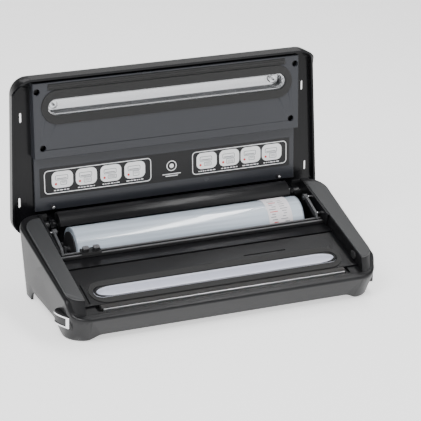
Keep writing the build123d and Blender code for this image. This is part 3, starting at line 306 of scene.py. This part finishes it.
tiles = bmesh.new()
drawings = bmesh.new()
dots = bmesh.new()
TILE_V = LABEL_V + 1.9
for number, tile_u in enumerate((-134.0, -104.0, -73.0, -42.5, 51.0, 81.0, 109.5, 138.0)):
    prism(tiles, rounded(tile_u, TILE_V, TILE_L, TILE_H, TILE_R), on_lid, LABEL_W, LABEL_W + INK)
    level, top = LABEL_W + INK, LABEL_W + 2 * INK
    # every tile shows an appliance outline, a bag and a hint of a hand movement
    hoop(drawings, rounded(tile_u - 1, TILE_V + 2.5, 16, 6, 1.6),
         rounded(tile_u - 1, TILE_V + 2.5, 14.8, 4.8, 1.1), on_lid, level, top)
    strip(drawings, tile_u - 1, TILE_V + 1.4, 12.5, 1.0, on_lid, level, top)
    bag_w, bag_h = 8 + number % 3 * 1.5, 5 + number % 2 * 1.5
    hoop(drawings, rounded(tile_u + 1.5, TILE_V - 4.2, bag_w, bag_h, 1.1),
         rounded(tile_u + 1.5, TILE_V - 4.2, bag_w - 1.1, bag_h - 1.1, 0.7), on_lid, level, top)
    for line in range(2 + number % 3):
        strip(drawings, tile_u + 1.5, TILE_V - 3.0 - 1.1 * line, bag_w - 3, 0.35, on_lid, level, top)
    prism(dots, rounded(tile_u - 8.2, TILE_V - 5.0, 2.8, 2.8, 1.39), on_lid, level, top)
    start = tile_u - 11
    while start < tile_u + 9:
        dash = rng.uniform(1.6, 4.2)
        strip(captions, start + dash / 2, LABEL_V - 10.9, dash, 1.15, on_lid, LABEL_W, LABEL_W + INK)
        start += dash + 0.9
publish(tiles, "label_tiles", "lid", WHITE_INK)
publish(drawings, "label_drawings", "lid", GREY_INK)
publish(dots, "label_dots", "lid", RED_INK)
publish(captions, "label_captions", "lid", WHITE_INK)
emblem = bmesh.new()
hoop(emblem, rounded(5, LABEL_V + 1, 13, 13, 6.49, 8), rounded(5, LABEL_V + 1, 11, 11, 5.49, 8), on_lid,
     LABEL_W, LABEL_W + INK)
prism(emblem, rounded(5, LABEL_V + 1, 5.5, 5.5, 2.7), on_lid, LABEL_W, LABEL_W + INK)
for offset, width in ((-9.2, 24.0), (-11.6, 16.0)):
    strip(emblem, 5, LABEL_V + offset, width, 0.9, on_lid, LABEL_W, LABEL_W + INK)
publish(emblem, "label_emblem", "lid", WHITE_INK)

# ---------------------------------------------------------------- cross recesses in the screw heads, as painted shade: dark crosses laid on the heads, not cut into them
SCREW_SPOTS = ((-164.7, 168.1), (164.7, 168.1), (-159.3, 99.7), (159.3, 99.7))
CROSS_L, CROSS_T = 4.0, 0.9
HEAD_W = -6.9                 # outer face of the screw heads
crosses = bmesh.new()
for u, v in SCREW_SPOTS:
    strip(crosses, u, v, CROSS_L, CROSS_T, on_lid, HEAD_W - 0.2, HEAD_W + 0.06)
    strip(crosses, u, v, CROSS_T, CROSS_L, on_lid, HEAD_W - 0.2, HEAD_W + 0.07)
publish(crosses, "screw_crosses", "lid", RECESS_SHADE)

# ---------------------------------------------------------------- marks on the three control buttons
BUTTON_V = 171.5
for name, u in (("vacuum", -34.0), ("seal", 0.0), ("manual", 34.0)):
    mark = bmesh.new()
    top, bottom = -23.9, -23.75
    if name == "vacuum":
        hoop(mark, rounded(u, BUTTON_V, 5, 5, 2.49), rounded(u, BUTTON_V, 3.8, 3.8, 1.89), on_lid,
             bottom, top)
    elif name == "seal":
        strip(mark, u, BUTTON_V + 1, 9, 0.8, on_lid, bottom, top)
        strip(mark, u, BUTTON_V - 1, 9, 0.8, on_lid, bottom, top)
    else:
        for step in (-3, 0, 3):
            strip(mark, u + step, BUTTON_V, 1.2, 4, on_lid, bottom, top)
    publish(mark, name + "_mark", name + "_button_body", WHITE_INK)

# ---------------------------------------------------------------- liquid tray, a shallow boat
tray = bmesh.new()
TRAY_HALF, TRAY_R, BOAT_HALF, BOAT_W = 151.2, 9.7, 148.0, 8.7
BOAT_DEPTH, TRAY_SKIN, TAPER_X = 9.6, 1.3, 126.0
SEAM_X, SEAM_H = -118.0, 0.3  # moulding seam near the left end
COLUMNS, ROWS = 220, 24


BRIM_ROWS = 2
HOLLOW_SHARE = 1 - 2 * BRIM_ROWS / ROWS


def boat_half(x, edge):
    """Half width of the hollow, rounded off towards both ends."""
    run = max(0.0, (abs(x) - TAPER_X) / (BOAT_HALF - TAPER_X))
    return min(0.96 * edge, BOAT_W * math.sqrt(max(0.0004, 1 - run ** 2)))


def tray_point(x, t, under):
    end = max(0.0, abs(x) - (TRAY_HALF - TRAY_R))
    edge = math.sqrt(max(0.0004, TRAY_R ** 2 - end ** 2))
    half = boat_half(x, edge)
    if abs(t) <= HOLLOW_SHARE + 0.001:
        s = t / HOLLOW_SHARE * half
    else:
        s = math.copysign(half + (abs(t) - HOLLOW_SHARE) / (1 - HOLLOW_SHARE) * (edge - half), t)
    inside = max(0.0, 1 - (s / half) ** 2) if abs(x) < BOAT_HALF else 0.0
    depth = BOAT_DEPTH * inside ** 0.75 * (half / BOAT_W) ** 0.8
    seam = SEAM_H * math.exp(-((x - SEAM_X - 1.5 * t) / 0.7) ** 2)
    return on_deck(x, s, -0.35 - depth + seam * inside - (TRAY_SKIN if under else 0.0))


sheets = []
for under in (False, True):
    rows = []
    for i in range(COLUMNS + 1):
        x = TRAY_HALF * math.sin(math.pi / 2 * (2 * i / COLUMNS - 1)) * 0.9999
        rows.append([tray.verts.new(tray_point(x, 2 * j / ROWS - 1, under)) for j in range(ROWS + 1)])
    for a, b in zip(rows, rows[1:]):
        for j in range(ROWS):
            face = tray.faces.new((a[j], a[j + 1], b[j + 1], b[j]))
            # the flat brim round the hollow is dark, like the deck
            brim = j < BRIM_ROWS or j >= ROWS - BRIM_ROWS or abs(a[j].co.x) > BOAT_HALF * MM
            face.material_index = 1 if brim else 0
    sheets.append(rows)
for i in range(COLUMNS):
    for j in (0, ROWS):
        tray.faces.new((sheets[0][i][j], sheets[0][i + 1][j], sheets[1][i + 1][j], sheets[1][i][j]))
for i in (0, COLUMNS):
    for j in range(ROWS):
        tray.faces.new((sheets[0][i][j], sheets[0][i][j + 1], sheets[1][i][j + 1], sheets[1][i][j]))
boat = publish(tray, "tray_boat", "base", TRAY, stands_for="drip_tray", smooth=True)
boat.data.materials.append(DECK)

# ---------------------------------------------------------------- film wound on its core
roll_low, roll_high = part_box("film_roll")
core_low, core_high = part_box("roll_core")
AXLE_Y, AXLE_Z = (roll_low[1] + roll_high[1]) / 2, (roll_low[2] + roll_high[2]) / 2
ROLL_R = (roll_high[2] - roll_low[2]) / 2
CORE_R = (core_high[2] - core_low[2]) / 2 + 0.05 * MM
film = bmesh.new()
AROUND, ALONG, LAYERS = 144, 120, 26
ripple = [(rng.uniform(0.2, 1.0), rng.randint(2, 19), rng.uniform(0, 6.28), rng.uniform(-9, 9))
          for _ in range(9)]


def film_ring(x, radius, uneven):
    ring_points = []
    for k in range(AROUND):
        a = 2 * math.pi * k / AROUND
        wave = sum(size * math.sin(count * a + phase + twist * x) for size, count, phase, twist in ripple)
        r = radius - uneven * (0.10 + 0.035 * wave) * MM
        ring_points.append(film.verts.new((x, AXLE_Y + r * math.cos(a), AXLE_Z + r * math.sin(a))))
    return ring_points


rings = []
for layer in range(LAYERS):
    share = layer / LAYERS
    dent = (0.5 if layer % 2 else 0.0) + rng.uniform(0, 0.35)
    rings.append(film_ring(roll_low[0] + dent * MM, CORE_R + (ROLL_R - CORE_R) * share, 0))
for step in range(ALONG + 1):
    rings.append(film_ring(roll_low[0] + (roll_high[0] - roll_low[0]) * step / ALONG, ROLL_R, 1))
for layer in range(LAYERS - 1, -1, -1):
    share = layer / LAYERS
    dent = (0.5 if layer % 2 else 0.0) + rng.uniform(0, 0.35)
    rings.append(film_ring(roll_high[0] - dent * MM, CORE_R + (ROLL_R - CORE_R) * share, 0))
for a, b in zip(rings, rings[1:] + rings[:1]):
    for k in range(AROUND):
        m = (k + 1) % AROUND
        film.faces.new((a[k], a[m], b[m], b[k]))
publish(film, "film_wound", "film_roll_body", FILM, stands_for="film_roll", smooth=True)

# ---------------------------------------------------------------- marks on the paper band
band_low, band_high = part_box("roll_band")
BAND_R = (band_high[2] - band_low[2]) / 2 / MM


def on_band(x, turn, lift):
    """Point on the paper band: along the roll and round it, in millimetres."""
    a = turn / BAND_R
    r = (BAND_R + lift) * MM
    return Vector((x * MM, AXLE_Y - r * math.sin(a), AXLE_Z + r * math.cos(a)))


marks = bmesh.new()
notes = bmesh.new()
BAND_ROWS, ROW_STEP = 12, 3.3
for row in range(BAND_ROWS):
    turn = 4 + row * ROW_STEP
    strip(marks if row % 4 == 1 else notes, 111 + rng.uniform(-2, 2), turn, rng.uniform(5, 11), 1.1, on_band,
          -0.05, 0.06)
    strip(notes, 125 + rng.uniform(-2, 2), turn, rng.uniform(4, 10), 0.9, on_band, -0.05, 0.06)
publish(marks, "band_marks", "film_roll_body", RED_INK)
publish(notes, "band_notes", "film_roll_body", GREY_INK)

# ---------------------------------------------------------------- ribs of the cutter rail and of its slider
RAIL_TOP = -0.6
ribs = bmesh.new()
for s in (71.9, 73.0, 77.6, 78.7):
    strip(ribs, 0, s, 334, 0.45, on_deck, RAIL_TOP - 0.1, RAIL_TOP + 0.22)
publish(ribs, "rail_ribs", "cutter_bar", RIB)
grips = bmesh.new()
for middle in (-135.5, -122.5):
    for step in range(-3, 4):
        strip(grips, middle + step * 1.05, 75.3, 0.55, 6.4, on_deck, RAIL_TOP + 7.0, RAIL_TOP + 7.65)
publish(grips, "slider_grips", "cutter_slider_body", RIB)

# ---------------------------------------------------------------- floor, light and camera
def floor():
    mesh = bpy.data.meshes.new("floor")
    form = bmesh.new()
    form.faces.new([form.verts.new((x, y, 0.0)) for x, y in ((-9, -9), (9, -9), (9, 9), (-9, 9))])
    form.to_mesh(mesh)
    form.free()
    obj = bpy.data.objects.new("floor", mesh)
    bpy.context.collection.objects.link(obj)
    mesh.materials.append(material("floor_paper", (0.93, 0.93, 0.93), rough=0.7, bump=0.05, scale=300,
                                   vary=0.01, glow=1.1))


def sky():
    """Pale near the horizon and dimmer above it, so that dark gloss reflects less."""
    world = bpy.data.worlds.new("world")
    bpy.context.scene.world = world
    world.use_nodes = True
    tree = world.node_tree
    coords = tree.nodes.new("ShaderNodeTexCoord")
    split = tree.nodes.new("ShaderNodeSeparateXYZ")
    fade = tree.nodes.new("ShaderNodeMapRange")
    fade.inputs["From Min"].default_value = 0.02
    fade.inputs["From Max"].default_value = 0.3
    fade.inputs["To Min"].default_value = 1.0
    fade.inputs["To Max"].default_value = 0.22
    tree.links.new(coords.outputs["Generated"], split.inputs[0])
    tree.links.new(split.outputs["Z"], fade.inputs["Value"])
    tree.links.new(fade.outputs[0], tree.nodes["Background"].inputs[1])
    tree.nodes["Background"].inputs[0].default_value = (1, 1, 1, 1)


def area_light(name, place, aim, size, power, tall=None):
    data = bpy.data.lights.new(name, "AREA")
    data.energy = power
    data.shape = "RECTANGLE"
    data.size = size
    data.size_y = tall or size
    obj = bpy.data.objects.new(name, data)
    bpy.context.collection.objects.link(obj)
    obj.location = place
    obj.rotation_euler = (Vector(aim) - Vector(place)).to_track_quat("-Z", "Y").to_euler()


LENS_MM = 164.03515           # a long lens, seen from about two metres


def camera():
    azimuth, elevation, roll = math.radians(-23.29), math.radians(21.93), math.radians(1.11)
    distance, target = 2.14961, Vector((-0.02099, -0.094, 0.13703))
    back = Vector((math.sin(azimuth) * math.cos(elevation), -math.cos(azimuth) * math.cos(elevation),
                   math.sin(elevation)))
    right = Vector((math.cos(azimuth), math.sin(azimuth), 0))
    up = back.cross(right)
    right2 = right * math.cos(roll) + up * math.sin(roll)
    up2 = up * math.cos(roll) - right * math.sin(roll)
    data = bpy.data.cameras.new("camera")
    data.sensor_width = 36
    data.lens = LENS_MM
    data.clip_start, data.clip_end = 0.05, 50
    obj = bpy.data.objects.new("camera", data)
    bpy.context.collection.objects.link(obj)
    turn = Matrix((right2, up2, back)).transposed().to_4x4()
    obj.matrix_world = Matrix.Translation(target + back * distance) @ turn
    bpy.context.scene.camera = obj


floor()
sky()
area_light("key", (-1.2, -1.0, 1.9), (0, 0, 0.05), 1.2, 48)
area_light("fill", (1.6, -1.4, 1.2), (0, 0, 0.1), 1.4, 10)
area_light("back", (0.2, 1.6, 1.8), (0, 0, 0.1), 1.6, 12)
area_light("strip", (0.5, -0.03, 1.27), (0, 0.04, 0.08), 1.5, 12, tall=0.1)
camera()
